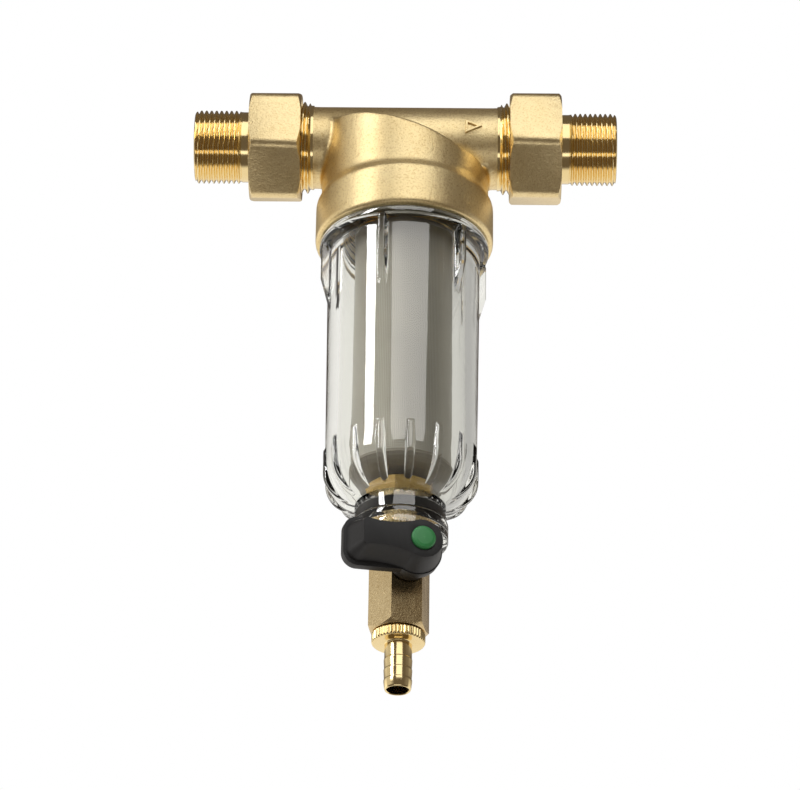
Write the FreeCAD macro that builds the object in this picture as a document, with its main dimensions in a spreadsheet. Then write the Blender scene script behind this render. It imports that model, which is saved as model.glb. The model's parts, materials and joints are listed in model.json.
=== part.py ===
# In-line magnetic system filter with a clear bowl and a flushing ball valve.
# Millimetres, +Z up. Origin: where the pipe run (X) meets the bowl's centre line (Z).
# Water enters at -X, passes the screen from outside to inside, leaves at +X.
import FreeCAD, Part
import math
import os

V = FreeCAD.Vector
ROT = FreeCAD.Rotation
PLM = FreeCAD.Placement
X, Y, Z = V(1, 0, 0), V(0, 1, 0), V(0, 0, 1)

doc = FreeCAD.newDocument("system_filter")
dims = doc.addObject("Spreadsheet::Sheet", "dims")

SIZES = [
    # pipe run and unions
    ("pipe_rad", 14.85, "outer radius of the cast pipe run"),
    ("way_rad", 10.0, "radius of the waterway, nominal 3/4 inch"),
    ("union_crest", 16.62, "G1 thread, crest radius"),
    ("union_root", 15.15, "G1 thread, root radius"),
    ("union_pitch", 2.309, "G1 thread, pitch"),
    ("union_start", 34.2, "G1 thread starts, from the middle"),
    ("head_half", 45.0, "half the face-to-face length of the head"),
    ("nut_near", 37.7, "union nut, inner end"),
    ("nut_shoulder", 51.2, "union nut, shoulder face"),
    ("nut_far", 56.3, "union nut, outer end"),
    ("nut_flats", 38.0, "union nut, across flats"),
    ("nut_round", 4.0, "union nut, corner rounding"),
    ("nut_thread_rad", 16.95, "union nut, thread bore radius"),
    ("nut_neck_rad", 13.6, "union nut, hole for the tailpiece"),
    ("tail_rad", 13.22, "R3/4 thread crest and neck radius"),
    ("tail_relief", 0.5, "tailpiece neck, below the thread crest"),
    ("outlet_less", 0.17, "outlet thread, crest below the inlet's, within the thread's tolerance"),
    ("tail_root", 12.06, "R3/4 thread root radius"),
    ("tail_pitch", 1.814, "R3/4 thread pitch"),
    ("tail_thread", 59.5, "tailpiece thread starts, from the middle"),
    ("tail_end", 76.2, "tailpiece end, from the middle"),
    ("tail_collar_rad", 15.7, "tailpiece collar radius"),
    ("tail_collar", 4.0, "tailpiece collar thickness"),
    ("gasket_thick", 2.0, "union gasket thickness"),
    ("gasket_rad", 15.4, "union gasket radius"),
    # head
    ("barrel_rad", 30.0, "barrel of the head, outer radius"),
    ("skirt_rad", 31.8, "skirt of the head, outer radius"),
    ("skirt_top", 25.6, "skirt starts, below the pipe axis"),
    ("skirt_low", 42.0, "skirt ends, below the pipe axis"),
    ("bowl_thread_bore", 28.0, "head thread bore radius"),
    ("seal_bore", 26.0, "head seal bore radius"),
    ("seal_top", 24.0, "head seal bore ends"),
    ("seal_low", 31.0, "head seal bore starts"),
    ("room_rad", 25.0, "ring room round the spigot, radius"),
    ("spigot_rad", 15.0, "central spigot, outer radius"),
    ("port_rad", 11.0, "central spigot, port radius"),
    ("spigot_low", 37.0, "central spigot ends"),
    ("head_slope", 19.6, "slope of the barrel top, degrees"),
    ("slope_left", 3.0, "height of the barrel top at its high side"),
    ("slope_right", 13.3, "depth of the barrel top at its low side"),
    # bowl
    ("bowl_in", 22.3, "bowl, inner radius"),
    ("bowl_top", 24.4, "bowl, top edge"),
    ("bowl_plug_rad", 25.4, "bowl, seal spigot radius"),
    ("bowl_groove", 24.0, "bowl, groove root radius"),
    ("bowl_crest", 27.7, "bowl thread crest radius"),
    ("bowl_root", 26.2, "bowl thread root radius"),
    ("bowl_pitch", 3.0, "bowl thread pitch"),
    ("collar_rad", 30.2, "bowl collar radius"),
    ("collar_top", 42.4, "bowl collar, top"),
    ("collar_low", 45.0, "bowl collar, underside"),
    ("tube_rad_top", 27.15, "bowl tube radius below the collar"),
    ("tube_rad_low", 26.3, "bowl tube radius above the dome"),
    ("tube_low", 129.5, "bowl tube ends, dome starts"),
    ("neck_rad", 15.8, "bowl neck radius"),
    ("neck_top", 146.5, "bowl neck starts"),
    ("foot_rad", 16.6, "bowl foot radius"),
    ("foot_top", 153.4, "bowl foot starts"),
    ("foot_low", 160.2, "bowl foot ends"),
    ("floor_in", 143.5, "bowl floor, inside"),
    ("shank_hole", 10.25, "hole for the valve shank"),
    ("foot_bore", 13.4, "counterbore for the valve flange"),
    ("foot_bore_top", 148.2, "counterbore ends"),
    ("fin_wide", 2.9, "upper fin, thickness"),
    ("fin_rad", 30.2, "upper fin, outer radius"),
    ("fin_knee", 59.0, "upper fin, slant starts"),
    ("fin_low", 70.3, "upper fin, slant ends"),
    ("rib_wide", 2.5, "dome rib, thickness"),
    # screen
    ("ring_in", 15.3, "screen top ring, inner radius"),
    ("ring_out", 17.9, "screen top ring, outer radius"),
    ("ring_top", 30.0, "screen top ring, top"),
    ("ring_low", 41.0, "screen top ring, underside"),
    ("mesh_out", 17.5, "mesh tube, outer radius"),
    ("mesh_in", 17.1, "mesh tube, inner radius"),
    ("mesh_top", 37.2, "mesh tube, top"),
    ("mesh_low", 133.2, "mesh tube, bottom"),
    ("cage_in", 15.3, "support cage, inner radius"),
    ("cap_low", 135.7, "screen bottom cap, underside"),
    ("cap_top", 129.0, "screen bottom cap, top of its rim"),
    # magnet rod
    ("rod_out", 6.6, "magnet sleeve, outer radius"),
    ("rod_in", 6.0, "magnet sleeve, inner radius"),
    ("rod_top", 62.0, "magnet sleeve, top"),
    ("magnet_rad", 5.9, "magnet radius"),
    ("magnet_long", 14.0, "magnet length"),
    ("pole_thick", 1.5, "pole disc thickness"),
    # drain valve
    ("stem_drop", 171.3, "valve stem axis, below the pipe axis"),
    ("stem_turn", 17.0, "valve stem points this far from -Y toward +X, degrees"),
    ("hex_flats", 18.7, "valve body, across flats"),
    ("hex_low", 194.0, "valve body ends"),
    ("flange_rad", 13.1, "valve body flange radius"),
    ("flange_top", 153.4, "valve body flange, top"),
    ("flange_low", 160.8, "valve body flange, underside"),
    ("shank_rad", 9.95, "valve shank radius"),
    ("shank_top", 138.0, "valve shank, top"),
    ("locknut_top", 138.5, "lock nut, top"),
    ("locknut_flats", 22.0, "lock nut, across flats"),
    ("drain_rad", 4.5, "drain way radius"),
    ("chamber_rad", 7.0, "ball chamber radius"),
    ("ball_rad", 6.5, "ball radius"),
    ("ball_way", 4.0, "hole through the ball, radius"),
    ("stem_rad", 2.8, "stem radius"),
    ("boss_rad", 6.3, "stem boss radius"),
    ("boss_out", 15.6, "stem boss, outer face from the valve axis"),
    ("lever_back", 16.4, "handle, back face from the valve axis"),
    ("lever_mid", 19.4, "handle, edge of its lip from the valve axis"),
    ("lever_front", 28.2, "handle, front face from the valve axis"),
    ("button_rad", 4.2, "coloured button radius"),
    # hose nozzle
    ("nozzle_thread", 6.3, "nozzle thread crest radius"),
    ("nozzle_top", 185.0, "nozzle, top of its thread"),
    ("knurl_rad", 9.2, "knurled flange radius"),
    ("knurl_top", 194.3, "knurled flange, top"),
    ("knurl_low", 198.0, "knurled flange, underside"),
    ("barb_rad", 4.85, "barb crest radius"),
    ("barb_root", 4.2, "barb root radius"),
    ("nozzle_low", 215.0, "nozzle end"),
    ("nozzle_way", 3.7, "nozzle bore radius"),
]
NUM = {}
for i, (name, value, note) in enumerate(SIZES):
    dims.set("A%d" % (i + 1), note)
    dims.set("B%d" % (i + 1), str(value))
    dims.setAlias("B%d" % (i + 1), name)
    NUM[name] = float(value)
doc.recompute()


def size(name):
    return float(getattr(dims, name))


def link(text):
    """$word in a formula means the sheet's cell of that alias."""
    return str(text).replace("$", "dims.")


def number(text):
    """Value of a sum of terms such as '-$neck_top-0.5' or '$bowl_in/2'."""
    total, sign, term = 0.0, 1.0, ""

    def term_value(word):
        out, op, piece = 1.0, "*", ""
        for ch in word + "*":
            if ch in "*/":
                v = size(piece[1:]) if piece.startswith("$") else float(piece)
                out = out * v if op == "*" else out / v
                op, piece = ch, ""
            else:
                piece += ch
        return out

    for ch in str(text).replace(" ", "") + "+":
        if ch in "+-":
            if term:
                total += sign * term_value(term)
            sign, term = (1.0 if ch == "+" else -1.0), ""
        else:
            term += ch
    return total


def bind(obj, **props):
    for prop, text in props.items():
        obj.setExpression(prop.replace("__", "."), link(text))


def plane(body, role):
    return [f for f in body.Origin.OriginFeatures if f.Role == role][0]


def outline(body, name, pts, role="XZ_Plane", turn=None):
    """Closed polygon sketch, every corner dimensioned from the origin by the sheet."""
    import Sketcher
    sk = body.newObject("Sketcher::SketchObject", name)
    sk.AttachmentSupport = (plane(body, role), [""])
    sk.MapMode = "FlatFace"
    if turn is not None:
        sk.AttachmentOffset = turn
    xy = [(number(a), number(b)) for a, b in pts]
    n = len(xy)
    sk.addGeometry([Part.LineSegment(V(xy[i][0], xy[i][1], 0), V(xy[(i + 1) % n][0], xy[(i + 1) % n][1], 0))
                    for i in range(n)], False)
    cons, formulas = [], []
    for i in range(n):
        cons.append(Sketcher.Constraint("Coincident", i, 2, (i + 1) % n, 1))
    for i in range(n):
        for kind, k, axis in (("DistanceX", 0, -2), ("DistanceY", 1, -1)):
            v, text = xy[i][k], str(pts[i][k])
            if abs(v) < 1e-9:
                cons.append(Sketcher.Constraint("PointOnObject", i, 1, axis))
            elif v > 0:
                cons.append(Sketcher.Constraint(kind, -1, 1, i, 1, v))
                if "$" in text:
                    formulas.append((len(cons) - 1, link(text)))
            else:
                cons.append(Sketcher.Constraint(kind, i, 1, -1, 1, -v))
                if "$" in text:
                    formulas.append((len(cons) - 1, "-(" + link(text) + ")"))
    sk.addConstraint(cons)
    for k, text in formulas:
        sk.setExpression("Constraints[%d]" % k, text)
    return sk


def turned(label, pts, axis="V_Axis", key=None):
    """A body of revolution about the sketch's vertical or horizontal axis."""
    body = doc.addObject("PartDesign::Body", key or label)
    body.Label = label
    sk = outline(body, label + "_profile", pts)
    rev = body.newObject("PartDesign::Revolution", label + "_turn")
    rev.Profile = sk
    rev.ReferenceAxis = (sk, [axis])
    rev.Angle = 360.0
    doc.recompute()
    return body


def ring_thread(start, stop, pitch, crest, root, count, along=1):
    """Corner list of a ring-grooved thread: from start, count crests with small flats."""
    pts = []
    sg = "+" if along > 0 else "-"
    for k in range(count):
        base = "%s%s%s*%s" % (start, sg, k, pitch) if k else start
        pts += [(base, root, 0.0), (base, crest, 0.40), (base, crest, 0.60), (base, root, 1.0)]
    return pts


PIECES = []


def keep(obj, label=None):
    if label:
        obj.Label = label
    PIECES.append(obj)
    return obj


def tool(kind, name, where=None, spin=None, **props):
    obj = doc.addObject(kind, name)
    for k, text in props.items():
        bind(obj, **{k: text})
    pos = where or ("0", "0", "0")
    for k, text in zip("xyz", pos):
        if str(text) != "0":
            obj.setExpression("Placement.Base." + k, link(text))
    if spin:
        obj.Placement = PLM(obj.Placement.Base, ROT(spin[0], spin[1]))
    return obj


def fuse(name, *objs):
    out = doc.addObject("Part::MultiFuse", name)
    out.Shapes = list(objs)
    out.Refine = True
    return out


def cut(name, base, *tools):
    for k, t in enumerate(tools):
        c = doc.addObject("Part::Cut", name if k == len(tools) - 1 else "%s_step%d" % (name, k))
        c.Base, c.Tool = base, t
        c.Refine = True
        base = c
    return base


def common(name, a, b):
    c = doc.addObject("Part::Common", name)
    c.Base, c.Tool = a, b
    c.Refine = True
    return c


def hex_bar(name, flats, low, high, spin=None, along="z"):
    """Six-sided bar between two heights (along Z) or two stations (along X)."""
    p = doc.addObject("Part::Prism", name)
    p.Polygon = 6
    bind(p, Circumradius="(" + flats + ")/2/cos(30)", Height="(" + high + ")-(" + low + ")")
    if along == "z":
        p.Placement = PLM(V(0, 0, 0), ROT(Z, spin or 0))
        p.setExpression("Placement.Base.z", link(low))
    else:
        p.Placement = PLM(V(0, 0, 0), ROT(Y, 90) * ROT(Z, spin or 0))
        p.setExpression("Placement.Base.x", link(low))
    return p


# ---------------------------------------------------------------- unions (turned about X)
def union_side(side, sgn):
    m = "" if sgn > 0 else "-"

    def at(text):
        # a station along the pipe, on this side
        return text if sgn > 0 else "-" + text.replace("+", "~").replace("-", "+").replace("~", "-")

    # tailpiece: collar, neck, external thread, waterway
    crest = "$tail_rad-$outlet_less" if sgn > 0 else "$tail_rad"
    pts = [("$head_half+$gasket_thick", "$way_rad"), ("$head_half+$gasket_thick", "$tail_collar_rad-0.5"),
           ("$head_half+$gasket_thick+0.5", "$tail_collar_rad"),
           ("$head_half+$gasket_thick+$tail_collar", "$tail_collar_rad"),
           ("$head_half+$gasket_thick+$tail_collar", crest + "-$tail_relief"), ("$tail_thread-0.3", crest + "-$tail_relief"), ("$tail_thread", crest)]
    for k in range(9):
        a = "$tail_thread+%g*$tail_pitch" % k if k else "$tail_thread"
        pts += [(a + "+0.18*$tail_pitch", crest),
                (a + "+0.46*$tail_pitch", "$tail_root"), (a + "+0.54*$tail_pitch", "$tail_root"),
                (a + "+0.82*$tail_pitch", crest)]
    pts += [("$tail_end-0.1", crest), ("$tail_end", crest + "-0.4"), ("$tail_end", "$way_rad+0.6"),
            ("$tail_end-0.6", "$way_rad")]
    if sgn < 0:
        pts = [(at(a), b) for a, b in pts]
    keep(turned(side + "_tailpiece", pts, "H_Axis"))
    # flat union gasket
    g = [("$head_half+0.02", "$way_rad+0.5"), ("$head_half+0.02", "$gasket_rad"),
         ("$head_half+$gasket_thick-0.02", "$gasket_rad"), ("$head_half+$gasket_thick-0.02", "$way_rad+0.5")]
    if sgn < 0:
        g = [(at(a), b) for a, b in g]
    keep(turned(side + "_gasket", g, "H_Axis"))
    # union nut: rounded six-sided bar, chamfered at both ends, stepped bore
    low = "$nut_near" if sgn > 0 else "-$nut_far"
    high = "$nut_far" if sgn > 0 else "-$nut_near"
    bar = hex_bar(side + "_nut_bar", "$nut_flats", low, high, spin=-7 if sgn > 0 else -2, along="x")
    doc.recompute()
    rnd = doc.addObject("Part::Fillet", side + "_nut_rounded")
    rnd.Base = bar
    long_edges = [k + 1 for k, e in enumerate(bar.Shape.Edges)
                  if abs(e.Vertexes[0].X - e.Vertexes[-1].X) > 5]
    rnd.Edges = [(k, size("nut_round"), size("nut_round")) for k in long_edges]
    env = [("$nut_near", "$nut_thread_rad+0.6"), ("$nut_near", "$nut_flats/2+0.35"),
           ("$nut_near+1.1", "$nut_flats/2+2.3"), ("$nut_near+1.1", "$nut_flats"), ("$nut_far-1.1", "$nut_flats"),
           ("$nut_far-1.1", "$nut_flats/2+2.3"), ("$nut_far", "$nut_flats/2+0.35"),
           ("$nut_far", "$nut_neck_rad+0.5"), ("$nut_far-0.5", "$nut_neck_rad"),
           ("$nut_shoulder", "$nut_neck_rad"), ("$nut_shoulder", "$nut_thread_rad"),
           ("$nut_near+0.6", "$nut_thread_rad")]
    if sgn < 0:
        env = [(at(a), b) for a, b in env]
    keep(common(side + "_union_nut", rnd, turned(side + "_nut_envelope", env, "H_Axis")))


union_side("inlet", -1)
union_side("outlet", 1)

# ---------------------------------------------------------------- head body
# barrel and skirt
barrel = turned("barrel_blank", [
    ("0", "8"), ("$barrel_rad", "8"), ("$barrel_rad", "-22.2"), ("$barrel_rad+0.35", "-23.6"),
    ("$skirt_rad-0.5", "-$skirt_top+0.1"), ("$skirt_rad", "-$skirt_top-0.9"),
    ("$skirt_rad", "-$skirt_low+1.0"), ("$skirt_rad-0.7", "-$skirt_low"), ("0", "-$skirt_low")])
# the barrel's top is a sloping plane, high on the inlet side
slope = tool("Part::Box", "slope_cutter", Length="140", Width="120", Height="60")
slope.Placement = PLM(V(0, 0, 0), ROT(Y, size("head_slope")))


def place_slope(box, lift):
    # plane through (-25, slope_left) falling toward +X
    a = math.radians(size("head_slope"))
    p = V(-25.0, 0, size("slope_left") + lift)
    u = V(math.cos(a), 0, -math.sin(a))
    box.Placement = PLM(p - u * 50.0 - Y * 60.0, ROT(Y, size("head_slope")))


place_slope(slope, 0.0)
barrel_step = tool("Part::Cylinder", "barrel_step", where=("0", "0", "-$skirt_top"), Radius="$barrel_rad",
                   Height="$skirt_top-$slope_right")
barrel_cut = fuse("barrel_sloped", cut("barrel_high", barrel, slope), barrel_step)
# pipe run with the two G1 threads
run = [("-$head_half", "$union_root-0.3")]
for k in range(4):
    b = "-$head_half+%g*$union_pitch" % (k + 0.45)
    run += [(b, "$union_root"), (b + "+0.40*$union_pitch", "$union_crest"), (b + "+0.55*$union_pitch", "$union_crest"),
            (b + "+0.95*$union_pitch", "$union_root")]
run += [("-$union_start", "$union_root"), ("-$union_start+0.3", "$pipe_rad"), ("$union_start-0.3", "$pipe_rad"),
        ("$union_start", "$union_root")]
for k in reversed(range(4)):
    b = "$head_half-%g*$union_pitch" % (k + 0.45)
    run += [(b + "-0.95*$union_pitch", "$union_root"), (b + "-0.55*$union_pitch", "$union_crest"),
            (b + "-0.40*$union_pitch", "$union_crest"), (b, "$union_root")]
run += [("$head_half", "$union_root-0.3"), ("$head_half", "0"), ("-$head_half", "0")]
run_bar = turned("pipe_run_bar", run, "H_Axis")
outer = fuse("head_outer", barrel_cut, run_bar)
# inside: inlet way, sloping ring room round the spigot, seal bore, thread bore, outlet way and port
inlet_way = tool("Part::Cylinder", "inlet_way", where=("-$head_half-1", "0", "0"), spin=(Y, 90),
                 Radius="$way_rad", Height="$head_half+1-16.5")
outlet_way = tool("Part::Cylinder", "outlet_way", where=("-2", "0", "0"), spin=(Y, 90), Radius="$way_rad",
                  Height="$head_half+3")
port = tool("Part::Cylinder", "spigot_port", where=("0", "0", "-$skirt_low-1"), Radius="$port_rad",
            Height="$skirt_low+1")
port_round = tool("Part::Sphere", "port_round", Radius="$way_rad+0.8")
room = turned("ring_room", [
    ("$spigot_rad", "4"), ("$room_rad", "4"), ("$room_rad", "-$seal_top"), ("$seal_bore", "-$seal_top"),
    ("$seal_bore", "-$seal_low"), ("$bowl_thread_bore", "-$seal_low"), ("$bowl_thread_bore", "-$skirt_low+0.8"),
    ("$bowl_thread_bore+0.8", "-$skirt_low"), ("$bowl_thread_bore+0.8", "-$skirt_low-1"), ("0", "-$skirt_low-1"), ("0", "-$spigot_low"),
    ("$spigot_rad-0.6", "-$spigot_low"), ("$spigot_rad", "-$spigot_low+0.6"),
    ("$spigot_rad", "-34.6"), ("$spigot_rad-1.6", "-34.6"), ("$spigot_rad-1.6", "-32.4"), ("$spigot_rad", "-32.4")])
room_slope = tool("Part::Box", "room_slope", Length="140", Width="120", Height="60")
place_slope(room_slope, -4.6)
room_cut = cut("ring_room_sloped", room, room_slope)
# raised flow arrow on the front of the outlet side
arrow = doc.addObject("Part::Feature", "flow_arrow")


def tri(scale):
    p = [V(21.6, 0, 2.6), V(27.4, 0, 0), V(21.6, 0, -2.6)]
    g = (p[0] + p[1] + p[2]) * (1 / 3.0)
    return Part.Face(Part.makePolygon([g + (q - g) * scale for q in p + [p[0]]]))


arrow.Shape = tri(1.0).cut(tri(0.52)).extrude(V(0, -4.0, 0))
arrow.Placement = PLM(V(0, -(size("pipe_rad") + 0.45) + 4.0, 0), ROT())
head_plain = cut("head_plain", outer, inlet_way, outlet_way, port, port_round, room_cut)
arrow_keep = tool("Part::Cylinder", "arrow_keep", where=("15", "0", "0"), spin=(Y, 90), Radius="$pipe_rad+0.45",
                  Height="18")
arrow_core = tool("Part::Cylinder", "arrow_core", where=("15", "0", "0"), spin=(Y, 90), Radius="$way_rad+1.5",
                  Height="18")
arrow_ready = cut("arrow_ready", common("arrow_curved", arrow, arrow_keep), arrow_core)
keep(fuse("head_body", head_plain, arrow_ready), "head_body")

# O-ring on the spigot, for the screen's top ring
keep(tool("Part::Torus", "screen_top_o_ring", where=("0", "0", "-33.5"), Radius1="$spigot_rad-0.8", Radius2="0.8"))

# ---------------------------------------------------------------- bowl
bowl = doc.addObject("PartDesign::Body", "filter_bowl")
wall = [("$bowl_in", "-$bowl_top"), ("$bowl_plug_rad-0.4", "-$bowl_top"), ("$bowl_plug_rad", "-$bowl_top-0.5"),
        ("$bowl_plug_rad", "-26.4"), ("$bowl_groove", "-26.4"), ("$bowl_groove", "-28.7"), ("$bowl_plug_rad", "-28.7"),
        ("$bowl_plug_rad", "-31.3"), ("$bowl_root", "-31.9")]
for k in range(3):
    b = "-32.2-%g*$bowl_pitch" % k
    wall += [(("$bowl_root"), b), ("$bowl_crest", b + "-0.38*$bowl_pitch"), ("$bowl_crest", b + "-0.55*$bowl_pitch"),
             ("$bowl_root", b + "-0.93*$bowl_pitch")]
wall += [("$bowl_root", "-$collar_top"), ("$collar_rad-0.3", "-$collar_top"), ("$collar_rad", "-$collar_top-0.3"),
         ("$collar_rad", "-$collar_low+0.4"), ("$collar_rad-0.4", "-$collar_low"), ("$tube_rad_top+0.7", "-$collar_low"),
         ("$tube_rad_top+0.2", "-$collar_low-0.3"), ("$tube_rad_top", "-$collar_low-1.0"), ("$tube_rad_low", "-$tube_low")]
# dome: elliptical turn-in from the tube to the neck
for k in range(1, 8):
    t = math.radians(90.0 * k / 8.0)
    wall.append(("%.5f*$tube_rad_low+%.5f*$neck_rad" % (math.cos(t), 1 - math.cos(t)),
                 "-%.5f*$neck_top-%.5f*$tube_low" % (math.sin(t), 1 - math.sin(t))))
wall += [("$neck_rad+0.0", "-$neck_top"), ("$neck_rad", "-$foot_top"), ("$foot_rad-0.3", "-$foot_top"),
         ("$foot_rad", "-$foot_top-0.3"), ("$foot_rad", "-$foot_low+0.4"), ("$foot_rad-0.4", "-$foot_low"),
         ("$foot_bore+0.3", "-$foot_low"), ("$foot_bore", "-$foot_low+0.3"), ("$foot_bore", "-$foot_bore_top"),
         ("$shank_hole", "-$foot_bore_top"), ("$shank_hole", "-$floor_in"), ("14", "-$floor_in")]
for k in range(1, 6):
    t = math.radians(90.0 * k / 6.0)
    wall.append(("14+%.5f*$bowl_in-%.5f" % (math.sin(t), 14 * math.sin(t)),
                 "-$floor_in+%.5f" % (14.5 * (1 - math.cos(t)))))
wall += [("$bowl_in", "-$floor_in+14.5")]
base_sk = outline(bowl, "bowl_profile", wall)
rev = bowl.newObject("PartDesign::Revolution", "bowl_turn")
rev.Profile = base_sk
rev.ReferenceAxis = (base_sk, ["V_Axis"])
rev.Angle = 360.0
doc.recompute()


def fins(name, pts, wide, count, turn):
    sk = outline(bowl, name + "_profile", pts, turn=PLM(V(0, 0, 0), ROT(Y, turn)))
    pad = bowl.newObject("PartDesign::Pad", name)
    pad.Profile = sk
    pad.Midplane = True
    pad.setExpression("Length", link(wide))
    doc.recompute()
    pat = bowl.newObject("PartDesign::PolarPattern", name + "_round")
    pat.Originals = [pad]
    pat.Axis = ([f for f in bowl.Origin.OriginFeatures if f.Role == "Z_Axis"][0], [""])
    pat.Angle = 360.0
    pat.Occurrences = count
    bowl.Tip = pat
    doc.recompute()
    return pat


before = bowl.Shape.Volume
fins("bowl_fin", [("$bowl_in+2", "-$collar_low+0.6"), ("$fin_rad-0.5", "-$collar_low+0.6"), ("$fin_rad", "-$collar_low-0.4"),
                  ("$fin_rad", "-$fin_knee"), ("$tube_rad_top-0.05", "-$fin_low"), ("$bowl_in+2", "-$fin_low")],
     "$fin_wide", 6, 15.0)
rib = [("$bowl_in+2.0", "-$tube_low"), ("$tube_rad_low+0.02", "-$tube_low"), ("$tube_rad_low", "-134.5")]
for k in range(1, 8):
    t = math.radians(90.0 * k / 8.0)
    rib.append(("$tube_rad_low-12+%.5f" % (12 * math.cos(t)), "-134.5-%.5f" % (12 * math.sin(t))))
rib += [("$neck_rad-0.6", "-$neck_top"), ("$neck_rad-0.6", "-$neck_top+2.0"), ("$bowl_in-2.6", "-140.5"), ("$bowl_in+1.2", "-136")]
fins("bowl_rib", rib, "$rib_wide", 16, 7.5)
if not bowl.Shape.Volume > before + 500:
    raise SystemExit("bowl fins added nothing")
keep(bowl, "filter_bowl")
keep(tool("Part::Torus", "bowl_o_ring", where=("0", "0", "-27.55"), Radius1="$bowl_groove+0.86", Radius2="0.85"))

# ---------------------------------------------------------------- screen cartridge
keep(turned("screen_top_ring", [
    ("$ring_in+0.6", "-$ring_top"), ("$ring_out-0.5", "-$ring_top"), ("$ring_out", "-$ring_top-0.5"),
    ("$ring_out", "-$ring_low"), ("$mesh_out+0.02", "-$ring_low"), ("$mesh_out+0.02", "-$mesh_top+0.02"),
    ("$mesh_in-0.02", "-$mesh_top+0.02"), ("$mesh_in-0.02", "-$ring_low"), ("$ring_in", "-$ring_low"),
    ("$ring_in", "-$ring_top-0.6")]))
keep(turned("screen_mesh", [("$mesh_in", "-$mesh_top"), ("$mesh_out", "-$mesh_top"), ("$mesh_out", "-$mesh_low"),
                            ("$mesh_in", "-$mesh_low")]))
# support cage inside the mesh: a tube opened by rows of windows
cage_tube = turned("cage_tube", [("$cage_in", "-$ring_low-0.05"), ("$mesh_in-0.05", "-$ring_low-0.05"),
                                 ("$mesh_in-0.05", "-$cap_top+0.05"), ("$cage_in", "-$cap_top+0.05")])
win = []
for row in range(6):
    for k in range(4):
        b = tool("Part::Box", "window_%d_%d" % (row, k), Length="44", Width="8.6", Height="11.6")
        b.Placement = PLM(ROT(Z, 45.0 * k).multVec(V(-22, -4.3, -57.0 - 14.2 * row)), ROT(Z, 45.0 * k))
        win.append(b)
windows = fuse("cage_window_set", *win)
keep(cut("screen_support_cage", cage_tube, windows))
keep(turned("screen_bottom_cap", [
    ("0", "-$cap_low+2.6"), ("5.6", "-$cap_low+2.6"), ("5.6", "-$cap_low+5.6"), ("8.4", "-$cap_low+5.6"), ("8.4", "-$cap_low+2.2"),
    ("$cage_in-0.2", "-$cap_low+2.2"), ("$cage_in-0.2", "-$cap_top"), ("$mesh_in-0.02", "-$cap_top"),
    ("$mesh_in-0.02", "-$mesh_low-0.02"), ("$mesh_out+0.02", "-$mesh_low-0.02"), ("$mesh_out+0.02", "-$mesh_low+0.5"),
    ("$ring_out", "-$mesh_low+0.5"), ("$ring_out", "-$mesh_low-0.4"), ("$mesh_out-0.6", "-$mesh_low-1.3"),
    ("$mesh_out-2.6", "-$cap_low+0.5"), ("$mesh_out-5.5", "-$cap_low"), ("0", "-$cap_low")]))
# magnet rod, sealed, standing on the bottom cap inside the screen
keep(turned("magnet_sleeve", [
    ("0", "-$rod_top"), ("$rod_out-2.5", "-$rod_top"), ("$rod_out-0.7", "-$rod_top-0.8"), ("$rod_out", "-$rod_top-2.6"),
    ("$rod_out", "-$cap_low+5.7"), ("$rod_in", "-$cap_low+5.7"), ("$rod_in", "-$rod_top-1.6"), ("0", "-$rod_top-1.6")]))
keep(turned("magnet_end_plug", [
    ("0", "-$cap_low+11.15"), ("$rod_in-0.05", "-$cap_low+11.15"), ("$rod_in-0.05", "-$cap_low+5.65"), ("5.3", "-$cap_low+5.65"),
    ("5.3", "-$cap_low+2.65"), ("0", "-$cap_low+2.65")]))
for k, name in enumerate("abcd"):
    lift = "-$rod_top-1.9" + ("-%d*$magnet_long-%d*$pole_thick" % (k, k) if k else "")
    if k < 4:
        keep(tool("Part::Cylinder", "magnet_" + name, where=("0", "0", lift + "-$magnet_long"), Radius="$magnet_rad",
                  Height="$magnet_long-0.02"))
    if k < 3:
        keep(tool("Part::Cylinder", "pole_disc_" + name, where=("0", "0", lift + "-$magnet_long-$pole_thick"),
                  Radius="$magnet_rad", Height="$pole_thick-0.02"))

# ---------------------------------------------------------------- drain valve (own frame: stem along -Y, then turned)
TURN = PLM(V(0, 0, 0), ROT(Z, size("stem_turn")))
flange = [("0", "-$shank_top"), ("$shank_rad-0.9", "-$shank_top"), ("$shank_rad", "-$shank_top-0.9")]
for k in range(3):
    b = "-139.4-%g*1.5" % k
    flange += [("$shank_rad", b), ("$shank_rad-0.8", b + "-0.6"), ("$shank_rad-0.8", b + "-0.8"), ("$shank_rad", b + "-1.4")]
flange += [("$shank_rad", "-$flange_top"), ("$flange_rad-0.4", "-$flange_top"), ("$flange_rad", "-$flange_top-0.4"),
           ("$flange_rad", "-155.3"), ("$flange_rad-0.9", "-155.7"), ("$flange_rad-0.9", "-156.6"), ("$flange_rad", "-157.0"),
           ("$flange_rad", "-158.6"), ("$flange_rad-0.9", "-159.0"), ("$flange_rad-0.9", "-159.7"), ("$flange_rad-0.2", "-160.0"),
           ("$flange_rad-0.2", "-$flange_low"), ("0", "-$flange_low")]
upper = turned("valve_upper", flange)
hexb = hex_bar("valve_hex", "$hex_flats", "-$hex_low", "-$flange_low+0.4", spin=0)
hex_env = turned("valve_hex_env", [("0", "-$flange_low+0.4"), ("$hex_flats/2+2", "-$flange_low+0.4"),
                                   ("$hex_flats/2+2", "-$hex_low+2.0"), ("$hex_flats/2-0.3", "-$hex_low"), ("0", "-$hex_low")])
boss = tool("Part::Cylinder", "stem_boss", where=("0", "0", "-$stem_drop"), spin=(X, 90), Radius="$boss_rad",
            Height="$boss_out")
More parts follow.
